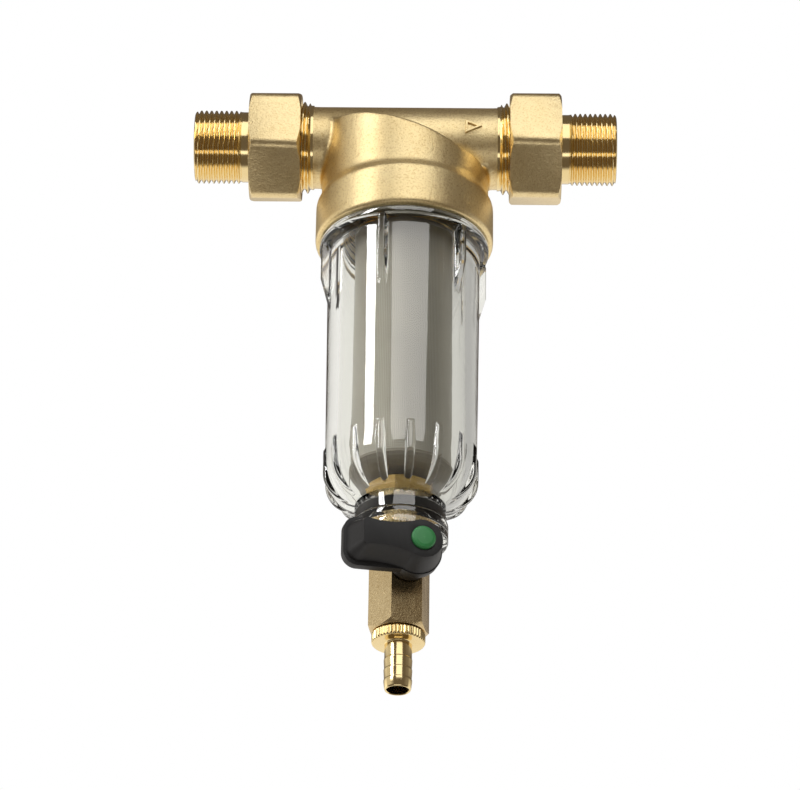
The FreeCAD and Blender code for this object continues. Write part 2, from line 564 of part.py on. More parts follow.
bores = turned("valve_bores", [
    ("0", "-$shank_top+1"), ("$drain_rad+1.0", "-$shank_top+1"), ("$drain_rad+1.0", "-$shank_top"), ("$drain_rad", "-$shank_top-1.0"),
    ("$drain_rad", "-$stem_drop+7.6"), ("$chamber_rad", "-$stem_drop+7.6"), ("$chamber_rad", "-183.4"), ("6.65", "-183.4"),
    ("6.65", "-$hex_low+0.5"), ("7.15", "-$hex_low"), ("7.15", "-$hex_low-1"), ("0", "-$hex_low-1")])


def along_stem(name, rad, near, far):
    return tool("Part::Cylinder", name, where=("0", "-" + near, "-$stem_drop"), spin=(X, 90), Radius=rad,
                Height=far + "-" + near)


b1 = along_stem("stem_bore", "$stem_rad+0.3", "0", "20")
b2 = along_stem("stem_collar_bore", "4.3", "9.0", "20")
b3 = along_stem("gland_bore", "5.05", "11.2", "20")
vb = cut("valve_body", fuse("valve_outer", upper, common("valve_hex_cut", hexb, hex_env), boss), bores, b1, b2, b3)
keep(vb, "valve_body")
ln_env = turned("locknut_env", [("$shank_rad+0.1", "-$locknut_top-0.3"), ("$shank_rad+0.4", "-$locknut_top"), ("$locknut_flats/2-0.1", "-$locknut_top"),
                                ("$locknut_flats/2+1.7", "-$locknut_top-1.0"), ("$locknut_flats/2+1.7", "-$floor_in+0.05"),
                                ("$shank_rad+0.1", "-$floor_in+0.05")])
keep(common("valve_lock_nut", hex_bar("locknut_bar", "$locknut_flats", "-$floor_in+0.05", "-$locknut_top", spin=22), ln_env))
keep(turned("valve_body_seal", [
    ("$shank_rad+0.35", "-$foot_bore_top-0.02"), ("$foot_bore-0.15", "-$foot_bore_top-0.02"), ("$foot_bore-0.15", "-$flange_top+0.02"),
    ("$shank_rad+0.35", "-$flange_top+0.02")]))


def seat(name, sgn):
    # cup-shaped ring against the ball
    r = size("ball_rad") + 0.2
    pts = []
    z0 = 7.5
    for k in range(5):
        rr = size("drain_rad") + 0.05 + (5.9 - size("drain_rad") - 0.05) * k / 4.0
        pts.append((rr, math.sqrt(max(r * r - rr * rr, 0.0))))
    prof = [(size("drain_rad") + 0.05, z0), (size("chamber_rad") - 0.1, z0), (size("chamber_rad") - 0.1, 3.1)] + \
           [(a, b) for a, b in reversed(pts)]
    if sgn < 0:
        prof = [(a, -b) for a, b in prof]
    return turned(name, [("%.5f" % a, "%.5f-$stem_drop" % b) for a, b in prof])


keep(seat("upper_ball_seat", 1))
keep(seat("lower_ball_seat", -1))
keep(turned("seat_retainer", [("$drain_rad", "-$stem_drop-7.6"), ("$chamber_rad-0.1", "-$stem_drop-7.6"),
                              ("$chamber_rad-0.1", "-183.2"), ("$drain_rad", "-183.2")]))
# ball with its way across (closed: the way lies along X) and a slot for the stem
ball = tool("Part::Sphere", "ball_blank", where=("0", "0", "-$stem_drop"), Radius="$ball_rad")
way = tool("Part::Cylinder", "ball_way_cut", where=("-12", "0", "-$stem_drop"), spin=(Y, 90), Radius="$ball_way", Height="24")
slot = tool("Part::Box", "ball_slot", where=("-1.0", "-8", "-$stem_drop-4"), Length="2.0", Width="3.0", Height="8")
keep(cut("ball", ball, way, slot))
# stem: tang in the ball, collar, groove, square end for the handle
stem_turned = turned("stem_turned", [
    ("0", "5.4"), ("$stem_rad", "5.4"), ("$stem_rad", "9.2"), ("4.0", "9.2"), ("4.0", "10.7"), ("$stem_rad", "10.7"), ("$stem_rad", "12.7"),
    ("1.9", "12.7"), ("1.9", "14.1"), ("$stem_rad", "14.1"), ("$stem_rad", "17.6"), ("$stem_rad", "26.0"), ("0", "26.0")])
stem_turned.Placement = PLM(V(0, 0, -size("stem_drop")), ROT(X, 90))
tang_a = tool("Part::Box", "stem_tang_a", where=("0.9", "-6.4", "-$stem_drop-4"), Length="4", Width="1.4", Height="8")
tang_b = tool("Part::Box", "stem_tang_b", where=("-4.9", "-6.4", "-$stem_drop-4"), Length="4", Width="1.4", Height="8")
flat_a = tool("Part::Box", "stem_flat_a", where=("2.1", "-27", "-$stem_drop-4"), Length="4", Width="9.2", Height="8")
flat_b = tool("Part::Box", "stem_flat_b", where=("-6.1", "-27", "-$stem_drop-4"), Length="4", Width="9.2", Height="8")
screw_hole = along_stem("stem_screw_hole", "1.3", "19", "27")
keep(cut("valve_stem", stem_turned, tang_a, tang_b, flat_a, flat_b, screw_hole))
oring = tool("Part::Torus", "stem_o_ring", Radius1="2.35", Radius2="0.43")
oring.Placement = PLM(V(0, -13.4, -size("stem_drop")), ROT(X, 90))
keep(oring)
wash = turned("washer_blank", [("3.1", "10.8"), ("4.2", "10.8"), ("4.2", "11.15"), ("3.1", "11.15")])
wash.Placement = PLM(V(0, 0, -size("stem_drop")), ROT(X, 90))
gl = turned("gland_turned", [("3.12", "11.3"), ("4.95", "11.3"), ("4.95", "$boss_out"), ("4.6", "$boss_out+0.4"), ("3.12", "$boss_out+0.4")])
gl.Placement = PLM(V(0, 0, -size("stem_drop")), ROT(X, 90))
keep(cut("thrust_washer", wash, tool("Part::Box", "washer_nick", where=("3.85", "-12", "-$stem_drop-0.5"), Length="1", Width="2",
                                         Height="1")))

sl = tool("Part::Box", "gland_slot", where=("-6", "-17", "-$stem_drop-0.6"), Length="12", Width="1.6", Height="1.2")
keep(cut("stem_gland", gl, sl))

# handle: lipped lever, loft from the lip outline to the flat front
lever = doc.addObject("Part::Feature", "handle")


def lever_wire(y, hub, left, half_waist, half_end, corner):
    """Outline in the X-Z plane at distance y: round at the stem, a slight waist, blunt at the free end."""
    top = V(-hub * 0.5, 0, hub * 0.866)
    low = V(-hub * 0.5, 0, -hub * 0.866)
    waist = -11.0
    c1 = V(left + corner, 0, -half_end)
    c2 = V(left, 0, -half_end + corner)
    c3 = V(left, 0, half_end - corner)
    c4 = V(left + corner, 0, half_end)
    m = corner * 0.293
    e = [Part.Arc(top, V(hub, 0, 0), low).toShape(),
         Part.Arc(low, V(waist, 0, -half_waist), c1).toShape(),
         Part.Arc(c1, V(left + m, 0, -half_end + m), c2).toShape(),
         Part.makeLine(c2, c3),
         Part.Arc(c3, V(left + m, 0, half_end - m), c4).toShape(),
         Part.Arc(c4, V(waist, 0, half_waist), top).toShape()]
    w = Part.Wire(e)
    w.translate(V(0, -y, 0))
    return w


yb, ym, yf = size("lever_back"), size("lever_mid"), size("lever_front")
lip = Part.Face(lever_wire(yb, 9.3, -25.3, 8.5, 9.0, 5.0)).extrude(V(0, -(ym - yb), 0))
grip = Part.makeLoft([lever_wire(ym - 0.01, 9.0, -24.3, 7.1, 7.5, 4.0), lever_wire(yf, 6.9, -20.7, 4.5, 4.9, 1.6)], True, False)
# underside hollow, leaving a hub round the stem
hollow = Part.makeLoft([lever_wire(yb - 0.1, 7.7, -23.5, 6.2, 6.6, 3.6), lever_wire(ym + 3.4, 7.4, -21.6, 5.2, 5.5, 2.6)], True, False)
hub = Part.makeCylinder(5.4, ym - yb + 4.0, V(0, -yb, 0), V(0, -1, 0))
# collar that reaches back over the stem boss
collar = Part.makeCylinder(7.4, ym - 6.8, V(0, -10.3, 0), V(0, -1, 0)).cut(Part.makeCylinder(6.7, ym - 6.8, V(0, -10.3, 0), V(0, -1, 0)))
body_h = lip.fuse(grip).cut(hollow.cut(hub)).fuse(collar).removeSplitter()
stem_hole = Part.makeCylinder(2.95, 26.15 - yb + 0.2, V(0, -yb + 0.1, 0), V(0, -1, 0))
body_h = body_h.cut(stem_hole)
body_h = body_h.cut(Part.makeCylinder(1.7, 5, V(0, -25, 0), V(0, -1, 0)))
body_h = body_h.cut(Part.makeCylinder(size("button_rad") + 0.03, 3, V(0, -27.0, 0), V(0, -1, 0)))
body_h = body_h.fuse(Part.makeBox(0.8, 7.0, 6, V(2.15, -26.0, -3)).common(Part.makeCylinder(3.1, 9, V(0, -18, 0), V(0, -1, 0))))
body_h = body_h.fuse(Part.makeBox(0.8, 7.0, 6, V(-2.95, -26.0, -3)).common(Part.makeCylinder(3.1, 9, V(0, -18, 0), V(0, -1, 0))))
lever.Shape = body_h.removeSplitter()
lever.Placement = PLM(V(0, 0, -size("stem_drop")), ROT())
keep(lever)
scr = turned("handle_screw", [("0", "19.6"), ("1.25", "19.6"), ("1.25", "26.2"), ("1.6", "26.2"), ("1.6", "26.4"), ("1.6", "26.9"), ("1.0", "27.0"), ("1.0", "26.4"),
                              ("0", "26.4")])
scr.Placement = PLM(V(0, 0, -size("stem_drop")), ROT(X, 90))
keep(scr)
capb = turned("handle_cap", [("0", "27.3"), ("$button_rad-0.05", "27.3"), ("$button_rad-0.05", "29.0"), ("$button_rad-0.5", "29.5"), ("$button_rad-1.4", "29.75"), ("0", "29.85")])
capb.Placement = PLM(V(0, 0, -size("stem_drop")), ROT(X, 90))
keep(capb)

# ---------------------------------------------------------------- hose nozzle
keep(turned("nozzle_gasket", [("$drain_rad+0.1", "-183.45"), ("6.3", "-183.45"), ("6.3", "-$nozzle_top+0.05"), ("$drain_rad+0.1", "-$nozzle_top+0.05")]))
noz = doc.addObject("PartDesign::Body", "hose_nozzle")
np_ = [("$nozzle_way", "-$nozzle_top"), ("$nozzle_thread-0.5", "-$nozzle_top"), ("$nozzle_thread", "-$nozzle_top-0.5")]
for k in range(5):
    b = "-185.8-%g*1.34" % k
    np_ += [("$nozzle_thread", b), ("$nozzle_thread-0.8", b + "-0.6"), ("$nozzle_thread-0.8", b + "-0.7"), ("$nozzle_thread", b + "-1.2")]
np_ += [("$nozzle_thread", "-$knurl_top"), ("$knurl_rad-0.4", "-$knurl_top"), ("$knurl_rad", "-$knurl_top-0.4"), ("$knurl_rad", "-$knurl_low+0.4"),
        ("$knurl_rad-0.4", "-$knurl_low"), ("5.8", "-$knurl_low"), ("$barb_root", "-$knurl_low-1.4"),
        ("$barb_root", "-204.2"), ("$barb_rad", "-204.4"), ("$barb_rad", "-204.8"), ("$barb_root", "-208.0"), ("$barb_rad", "-208.2"), ("$barb_rad", "-208.6"),
        ("$barb_root", "-211.8"), ("$barb_rad", "-212.0"), ("$barb_rad", "-212.5"), ("$barb_root+0.25", "-$nozzle_low+0.3"), ("$barb_root", "-$nozzle_low"),
        ("$nozzle_way+0.2", "-$nozzle_low"), ("$nozzle_way", "-$nozzle_low+0.3")]
nsk = outline(noz, "nozzle_profile", np_)
nrev = noz.newObject("PartDesign::Revolution", "nozzle_turn")
nrev.Profile = nsk
nrev.ReferenceAxis = (nsk, ["V_Axis"])
nrev.Angle = 360.0
doc.recompute()
vol = noz.Shape.Volume
ksk = outline(noz, "knurl_notch", [("$knurl_rad-0.6", "0"), ("$knurl_rad+0.3", "0.75"), ("$knurl_rad+0.3", "-0.75")], role="XY_Plane",
              turn=PLM(V(0, 0, -size("knurl_low") - 0.5), ROT()))
kp = noz.newObject("PartDesign::Pocket", "knurl_cut")
kp.Profile = ksk
kp.Length = 5.0
kp.Reversed = True
doc.recompute()
if not noz.Shape.Volume < vol - 0.2:
    kp.Reversed = False
    doc.recompute()
kpat = noz.newObject("PartDesign::PolarPattern", "knurl_round")
kpat.Originals = [kp]
kpat.Axis = ([f for f in noz.Origin.OriginFeatures if f.Role == "Z_Axis"][0], [""])
kpat.Angle = 360.0
kpat.Occurrences = 48
noz.Tip = kpat
doc.recompute()
if not noz.Shape.Volume < vol - 20:
    raise SystemExit("the knurl cut nothing")
keep(noz, "hose_nozzle")

doc.recompute()
bad = [o.Name for o in doc.Objects if "Invalid" in o.State or "Error" in o.State]
for o in PIECES:
    s = o.Shape
    if s.isNull() or not s.isValid() or len(s.Solids) != 1:
        bad.append("%s shape: null %s valid %s solids %d" % (o.Label, s.isNull(), (not s.isNull()) and s.isValid(), 0 if s.isNull() else len(s.Solids)))
if bad:
    raise SystemExit("failed: " + "; ".join(bad))

VALVE_SET = {"valve_body", "upper_ball_seat", "lower_ball_seat", "seat_retainer", "ball", "valve_stem", "stem_o_ring", "thrust_washer",
             "stem_gland", "handle", "handle_screw", "handle_cap", "nozzle_gasket", "hose_nozzle"}
for o in PIECES:
    if o.Label in VALVE_SET:
        o.Placement = TURN.multiply(o.Placement)
doc.recompute()
os.makedirs("parts", exist_ok=True)
for o in PIECES:
    o.Shape.exportStep(os.path.join("parts", o.Label + ".step"))
    bb = o.Shape.BoundBox
    print("%-22s vol %9.1f  X %.2f..%.2f Y %.2f..%.2f Z %.2f..%.2f" % (o.Label, o.Shape.Volume, bb.XMin, bb.XMax, bb.YMin, bb.YMax, bb.ZMin, bb.ZMax))
print(len(PIECES), "pieces")
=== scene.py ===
import json
import math
import bpy
import bmesh
import numpy as np
from mathutils import Matrix, Vector

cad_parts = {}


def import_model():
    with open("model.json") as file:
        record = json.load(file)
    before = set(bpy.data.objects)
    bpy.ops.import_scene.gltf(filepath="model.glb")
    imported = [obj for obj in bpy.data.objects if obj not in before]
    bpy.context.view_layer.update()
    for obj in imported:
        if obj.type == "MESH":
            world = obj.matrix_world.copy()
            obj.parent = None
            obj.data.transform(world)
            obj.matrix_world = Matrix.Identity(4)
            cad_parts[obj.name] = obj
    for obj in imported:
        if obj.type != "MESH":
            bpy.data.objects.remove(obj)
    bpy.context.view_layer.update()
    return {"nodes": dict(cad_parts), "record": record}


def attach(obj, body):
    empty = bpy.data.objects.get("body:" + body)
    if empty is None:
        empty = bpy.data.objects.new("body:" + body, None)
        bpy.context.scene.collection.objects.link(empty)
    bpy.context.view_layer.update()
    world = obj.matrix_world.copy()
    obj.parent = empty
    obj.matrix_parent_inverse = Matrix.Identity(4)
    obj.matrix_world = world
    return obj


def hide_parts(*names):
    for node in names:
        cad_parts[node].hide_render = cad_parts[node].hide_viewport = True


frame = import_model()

nodes = frame["nodes"]
scene = bpy.context.scene
MM = 0.001
TAU = 2 * math.pi
STEM_TURN = math.radians(17.0)
STEM_Z = -171.3


# ------------------------------------------------------------------ node helpers
def new_mat(name):
    m = bpy.data.materials.new(name)
    m.use_nodes = True
    nt = m.node_tree
    nt.nodes.clear()
    out = nt.nodes.new("ShaderNodeOutputMaterial")
    bs = nt.nodes.new("ShaderNodeBsdfPrincipled")
    nt.links.new(bs.outputs[0], out.inputs[0])
    return m, nt, bs, out


def node(nt, kind, **props):
    n = nt.nodes.new(kind)
    ins = props.pop("ins", {})
    for k, v in props.items():
        setattr(n, k, v)
    for k, v in ins.items():
        n.inputs[k].default_value = v
    return n


def noise(nt, vec, scale, detail=3.0, rough=0.5, distort=0.0):
    n = node(nt, "ShaderNodeTexNoise", ins={"Scale": scale, "Detail": detail, "Roughness": rough, "Distortion": distort})
    nt.links.new(vec, n.inputs["Vector"])
    return n.outputs["Fac"]


def obj_coord(nt, scale=(1, 1, 1)):
    t = node(nt, "ShaderNodeTexCoord")
    mp = node(nt, "ShaderNodeMapping")
    mp.inputs["Scale"].default_value = scale
    nt.links.new(t.outputs["Object"], mp.inputs["Vector"])
    return mp.outputs["Vector"]


def ramp(nt, fac, stops, mode="LINEAR"):
    r = node(nt, "ShaderNodeValToRGB")
    r.color_ramp.interpolation = mode
    el = r.color_ramp.elements
    while len(el) < len(stops):
        el.new(0.5)
    for e, (p, c) in zip(el, stops):
        e.position = p
        e.color = (c[0], c[1], c[2], 1.0) if len(c) == 3 else c
    nt.links.new(fac, r.inputs["Fac"])
    return r.outputs["Color"]


def grey(v):
    return (v, v, v)


def to_range(nt, fac, lo, hi):
    m = node(nt, "ShaderNodeMapRange")
    m.inputs["To Min"].default_value = lo
    m.inputs["To Max"].default_value = hi
    nt.links.new(fac, m.inputs["Value"])
    return m.outputs["Result"]


def math_node(nt, op, a, b=None, c=None):
    n = node(nt, "ShaderNodeMath", operation=op)
    for i, v in enumerate((a, b, c)):
        if v is None:
            continue
        if isinstance(v, (int, float)):
            n.inputs[i].default_value = v
        else:
            nt.links.new(v, n.inputs[i])
    return n.outputs[0]


def bump(nt, bs, height, strength, dist, chain=None):
    b = node(nt, "ShaderNodeBump", ins={"Strength": strength, "Distance": dist})
    nt.links.new(height, b.inputs["Height"])
    if chain is not None:
        nt.links.new(chain, b.inputs["Normal"])
    nt.links.new(b.outputs["Normal"], bs.inputs["Normal"])
    return b.outputs["Normal"]


# ------------------------------------------------------------------ materials
def brass_cast(name, light=(0.97, 0.805, 0.46), dark=(0.91, 0.715, 0.365), rough=(0.33, 0.43), grain=1.0):
    m, nt, bs, _ = new_mat(name)
    v = obj_coord(nt)
    big = noise(nt, v, 45.0, 4.0, 0.6)
    fine = noise(nt, v, 1500.0, 2.0, 0.65)
    mid = noise(nt, v, 520.0, 3.0, 0.55)
    speck = node(nt, "ShaderNodeMix", data_type="RGBA", blend_type="MULTIPLY")
    speck.inputs["Factor"].default_value = min(1.0, 0.75 * grain)
    nt.links.new(ramp(nt, big, [(0.30, dark), (0.70, light)]), speck.inputs[6])
    nt.links.new(ramp(nt, fine, [(0.34, (0.74, 0.67, 0.56)), (0.50, grey(0.97)), (0.66, grey(1.0))]), speck.inputs[7])
    nt.links.new(speck.outputs[2], bs.inputs["Base Color"])
    nt.links.new(to_range(nt, mid, rough[0], rough[1]), bs.inputs["Roughness"])
    bs.inputs["Metallic"].default_value = 1.0
    n1 = bump(nt, bs, mid, 0.22 * grain, 0.0004)
    bump(nt, bs, fine, 0.42 * grain, 0.00026, n1)
    return m


def brass_turned(name, axis, light=(0.94, 0.77, 0.42), dark=(0.88, 0.69, 0.34), rough=(0.09, 0.17)):
    """Machined brass: fine rings round the turning axis."""
    m, nt, bs, _ = new_mat(name)
    sc = (1.0, 0.02, 0.02) if axis == "X" else (0.02, 0.02, 1.0)
    v = obj_coord(nt, sc)
    rings = noise(nt, v, 5200.0, 2.0, 0.7)
    big = noise(nt, obj_coord(nt), 60.0, 3.0, 0.5)
    nt.links.new(ramp(nt, big, [(0.3, dark), (0.7, light)]), bs.inputs["Base Color"])
    nt.links.new(to_range(nt, rings, rough[0], rough[1]), bs.inputs["Roughness"])
    bs.inputs["Metallic"].default_value = 1.0
    bump(nt, bs, rings, 0.10, 0.00004)
    return m


def rubber(name, base=0.007):
    m, nt, bs, _ = new_mat(name)
    v = obj_coord(nt)
    f = noise(nt, v, 900.0, 3.0, 0.6)
    nt.links.new(ramp(nt, f, [(0.3, grey(base)), (0.8, grey(base * 2.2))]), bs.inputs["Base Color"])
    nt.links.new(to_range(nt, f, 0.42, 0.6), bs.inputs["Roughness"])
    bs.inputs["Specular IOR Level"].default_value = 0.18
    bump(nt, bs, f, 0.15, 0.0001)
    return m


def plastic(name, c1, c2, rough=(0.35, 0.5), scale=1500.0, bump_s=0.2, bump_d=0.00008):
    m, nt, bs, _ = new_mat(name)
    v = obj_coord(nt)
    big = noise(nt, v, 70.0, 3.0, 0.5)
    fine = noise(nt, v, scale, 3.0, 0.6)
    nt.links.new(ramp(nt, big, [(0.3, c1), (0.7, c2)]), bs.inputs["Base Color"])
    nt.links.new(to_range(nt, fine, rough[0], rough[1]), bs.inputs["Roughness"])
    bump(nt, bs, fine, bump_s, bump_d)
    return m


def clear_plastic(name):
    m, nt, bs, out = new_mat(name)
    v = obj_coord(nt)
    big = noise(nt, v, 55.0, 2.0, 0.4)
    nt.links.new(ramp(nt, big, [(0.3, (0.955, 0.955, 0.925)), (0.7, (0.980, 0.980, 0.955))]), bs.inputs["Base Color"])
    bs.inputs["IOR"].default_value = 1.50
    bs.inputs["Transmission Weight"].default_value = 1.0
    bs.inputs["Metallic"].default_value = 0.0
    flow = noise(nt, v, 160.0, 2.0, 0.4)
    nt.links.new(to_range(nt, flow, 0.0, 0.035), bs.inputs["Roughness"])
    bump(nt, bs, flow, 0.05, 0.0003)
    lp = node(nt, "ShaderNodeLightPath")
    tr = node(nt, "ShaderNodeBsdfTransparent")
    tr.inputs["Color"].default_value = (0.93, 0.94, 0.925, 1)
    mix = node(nt, "ShaderNodeMixShader")
    nt.links.new(lp.outputs["Is Shadow Ray"], mix.inputs[0])
    nt.links.new(bs.outputs[0], mix.inputs[1])
    nt.links.new(tr.outputs[0], mix.inputs[2])
    nt.links.new(mix.outputs[0], out.inputs[0])
    return m


def woven_mesh(name, radius, pitch):
    """Woven wire cloth on a tube about Z: two sets of wires crossing over and under."""
    m, nt, bs, _ = new_mat(name)
    t = node(nt, "ShaderNodeTexCoord")
    sep = node(nt, "ShaderNodeSeparateXYZ")
    nt.links.new(t.outputs["Object"], sep.inputs[0])
    ang = math_node(nt, "ARCTAN2", sep.outputs["Y"], sep.outputs["X"])
    count = round(TAU * radius / pitch)
    u = math_node(nt, "MULTIPLY", ang, count / 2.0)
    w = math_node(nt, "MULTIPLY", sep.outputs["Z"], math.pi / pitch)
    su, cu = math_node(nt, "SINE", u), math_node(nt, "COSINE", u)
    sw, cw = math_node(nt, "SINE", w), math_node(nt, "COSINE", w)
    # warp wires stand where cos(u) is large, weft wires where cos(w) is large
    warp = math_node(nt, "POWER", math_node(nt, "ABSOLUTE", cu), 0.8)
    weft = math_node(nt, "POWER", math_node(nt, "ABSOLUTE", cw), 0.8)
    over = math_node(nt, "MULTIPLY", math_node(nt, "SIGN", cu), math_node(nt, "SIGN", cw))
    h1 = math_node(nt, "MULTIPLY_ADD", over, 0.25, warp)
    h2 = math_node(nt, "MULTIPLY_ADD", over, -0.25, weft)
    h = math_node(nt, "MAXIMUM", h1, h2)
    # wire colour by height: the steel tone on the wire crowns, with painted shade, darker down in the gaps between
    # wires and where a wire dips under the other
    col = ramp(nt, to_range(nt, h, 0.0, 1.0), [(0.40, (0.17, 0.158, 0.132)), (0.68, (0.34, 0.322, 0.276)), (1.0, (0.50, 0.475, 0.415))])
    big = noise(nt, obj_coord(nt), 70.0, 3.0, 0.5)
    mixc = node(nt, "ShaderNodeMix", data_type="RGBA", blend_type="MULTIPLY")
    mixc.inputs["Factor"].default_value = 0.35
    nt.links.new(col, mixc.inputs[6])
    nt.links.new(ramp(nt, big, [(0.3, grey(0.75)), (0.7, grey(1.0))]), mixc.inputs[7])
    nt.links.new(mixc.outputs[2], bs.inputs["Base Color"])
    bs.inputs["Metallic"].default_value = 0.95
    nt.links.new(to_range(nt, big, 0.34, 0.42), bs.inputs["Roughness"])
    bump(nt, bs, h, 0.28, 0.00010)
    return m


M = {
    "cast_brass": brass_cast("cast_brass"),
    "nut_brass": brass_cast("nut_brass", (0.95, 0.785, 0.45), (0.89, 0.705, 0.37), (0.27, 0.36), 0.8),
    "turned_x": brass_turned("turned_brass_x", "X"),
    "turned_z": brass_turned("turned_brass_z", "Z"),
    "valve_brass": brass_cast("valve_brass", (0.80, 0.64, 0.36), (0.66, 0.50, 0.26), (0.22, 0.32), 0.9),
    "lock_brass": brass_cast("lock_nut_brass", (0.80, 0.57, 0.24), (0.66, 0.44, 0.15), (0.18, 0.28), 0.5),
    "clear": clear_plastic("clear_plastic"),
    "rubber": rubber("black_rubber"),
    "fibre": plastic("fibre_gasket", (0.10, 0.16, 0.17), (0.16, 0.22, 0.24), (0.6, 0.75), 700.0),
    "mesh": woven_mesh("woven_steel", 0.0175, 0.00062),
    "dark": plastic("dark_plastic", (0.150, 0.132, 0.100), (0.205, 0.182, 0.142), (0.32, 0.46)),
    "steel": brass_turned("bright_steel", "Z", (0.72, 0.72, 0.71), (0.60, 0.60, 0.59), (0.18, 0.28)),
    "magnet": brass_cast("nickel_magnet", (0.74, 0.74, 0.75), (0.62, 0.62, 0.63), (0.16, 0.24), 0.3),
    "ptfe": plastic("white_ptfe", (0.84, 0.84, 0.82), (0.92, 0.92, 0.90), (0.3, 0.4)),
    "ball": brass_turned("plated_ball", "Z", (0.80, 0.80, 0.80), (0.70, 0.70, 0.70), (0.05, 0.10)),
    "lever": plastic("lever_black", (0.014, 0.015, 0.016), (0.023, 0.024, 0.026), (0.42, 0.54), 1700.0, 0.3, 0.0001),
    "green": plastic("button_green", (0.050, 0.330, 0.095), (0.070, 0.390, 0.125), (0.28, 0.4), 1200.0, 0.12, 0.00006),
}
SLOT_MAT = {"cast_brass": "cast_brass", "turned_brass": "turned_z", "valve_brass": "valve_brass", "clear_plastic": "clear",
            "black_rubber": "rubber", "fibre_gasket": "fibre", "steel_mesh": "mesh", "dark_plastic": "dark", "steel": "steel",
            "magnet": "magnet", "ptfe": "ptfe", "plated_ball": "ball", "lever_black": "lever", "button_green": "green"}
NODE_MAT = {"inlet_tailpiece": "turned_x", "outlet_tailpiece": "turned_x", "inlet_union_nut": "nut_brass",
            "outlet_union_nut": "nut_brass", "valve_lock_nut": "lock_brass"}
for sub in frame["record"]["subparts"]:
    n = sub["node"]
    o = nodes[n]
    o.data.materials.clear()
    o.data.materials.append(M[NODE_MAT.get(n, SLOT_MAT[sub["material_slot"]])])


# ------------------------------------------------------------------ mesh helpers
def mesh_object(name, verts, faces, mat, sharp=35.0):
    me = bpy.data.meshes.new(name)
    me.from_pydata([tuple(v) for v in verts], [], faces)
    me.validate()
    bm = bmesh.new()
    bm.from_mesh(me)
    bmesh.ops.recalc_face_normals(bm, faces=bm.faces)
    bm.to_mesh(me)
    bm.free()
    me.polygons.foreach_set("use_smooth", [True] * len(me.polygons))
    me.set_sharp_from_angle(angle=math.radians(sharp))
    o = bpy.data.objects.new(name, me)
    scene.collection.objects.link(o)
    o.data.materials.append(M[mat] if isinstance(mat, str) else mat)
    return o


def ring_grid(rings, closed_profile=True):
    """rings: array (n_profile, n_theta, 3). Quads between neighbours, round in theta."""
    n, k, _ = rings.shape
    verts = rings.reshape(-1, 3)
    faces = []
    rows = n if closed_profile else n - 1
    for i in range(rows):
        a = i * k
        b = ((i + 1) % n) * k
        for j in range(k):
            j2 = (j + 1) % k
            faces.append((a + j, b + j, b + j2, a + j2))
    return verts, faces


# ------------------------------------------------------------------ shaped pieces that stand for CAD nodes
def done(o, body, slot_name, *stands_for):
    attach(o, body)
    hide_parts(*stands_for)
    return o


def lathe(name, rows, mat, axis="Z", thetas=None, sharp=35.0):
    """rows: list of (station, radius) round the axis, in mm, a closed profile. radius may be an array over the angles."""
    th = np.linspace(0, TAU, 144, endpoint=False) if thetas is None else thetas
    rings = np.zeros((len(rows), len(th), 3))
    for i, (s, r) in enumerate(rows):
        rr = np.broadcast_to(np.asarray(r, float), th.shape)
        ss = np.broadcast_to(np.asarray(s, float), th.shape)
        if axis == "Z":
            rings[i] = np.stack([rr * np.cos(th), rr * np.sin(th), ss], 1)
        else:
            rings[i] = np.stack([ss, rr * np.cos(th), rr * np.sin(th)], 1)
    v, f = ring_grid(rings * MM)
    return mesh_object(name, v, f, mat, sharp)


def sstep(x, a, b):
    t = np.clip((np.asarray(x, float) - a) / (b - a), 0, 1)
    return t * t * (3 - 2 * t)


def screw(s, th, pitch, root, crest, flat=0.20, low=0.86):
    """Radius of a right-handed thread at station s, over the angles th."""
    ph = np.mod(s / pitch - th / TAU, 1.0)
    u = np.abs(ph - 0.5) * 2
    return root + (crest - root) * (1 - np.clip((u - flat) / (low - flat), 0, 1))


def softened(node_name, width, body, slot_name, mat, angle=32.0, segs=3, name=None):
    """A copy of a CAD node with its sharp edges rounded over."""
    src = nodes[node_name]
    me = src.data.copy()
    me.name = (name or node_name + "_soft")
    o = bpy.data.objects.new(name or node_name + "_soft", me)
    scene.collection.objects.link(o)
    o.matrix_world = src.matrix_world.copy()
    bm = bmesh.new()
    bm.from_mesh(me)
    bmesh.ops.remove_doubles(bm, verts=bm.verts, dist=2e-6)
    bmesh.ops.dissolve_limit(bm, angle_limit=math.radians(0.6), verts=bm.verts, edges=bm.edges)
    bm.to_mesh(me)
    bm.free()
    me.polygons.foreach_set("use_smooth", [True] * len(me.polygons))
    me.materials.clear()
    me.materials.append(M[mat])
    b = o.modifiers.new("rounding", "BEVEL")
    b.width = width * MM
    b.segments = segs
    b.limit_method = "ANGLE"
    b.angle_limit = math.radians(angle)
    b.use_clamp_overlap = True
    b.harden_normals = True
    b.miter_outer = "MITER_SHARP"
    return done(o, body, slot_name, node_name)


# clear bowl: one wall, outside with six tapering fins and sixteen dome ribs, inside plain
FINS = [math.radians(15 + 60 * k) for k in range(6)]
RIBS = [math.radians(22.5 * k + 7.5) for k in range(16)]


def bowl_angles():
    a = list(np.linspace(0, TAU, 240, endpoint=False))
    for c in FINS:
        a += [c + math.radians(d) for d in (-3.9, -3.4, -3.0, -2.6, -2.2, -1.2, 0, 1.2, 2.2, 2.6, 3.0, 3.4, 3.9)]
    for c in RIBS:
        a += [c + math.radians(d) for d in (-3.9, -3.5, -3.2, -2.9, -2.6, -2.3, -1.7, -1.1, -0.5, 0, 0.5, 1.1, 1.7, 2.3, 2.6, 2.9, 3.2, 3.5, 3.9)]
    a = np.sort(np.mod(np.array(a), TAU))
    keep_a = [a[0]]
    for t in a[1:]:
        if t - keep_a[-1] > math.radians(0.22):
            keep_a.append(t)
    return np.array(keep_a)


BT = bowl_angles()


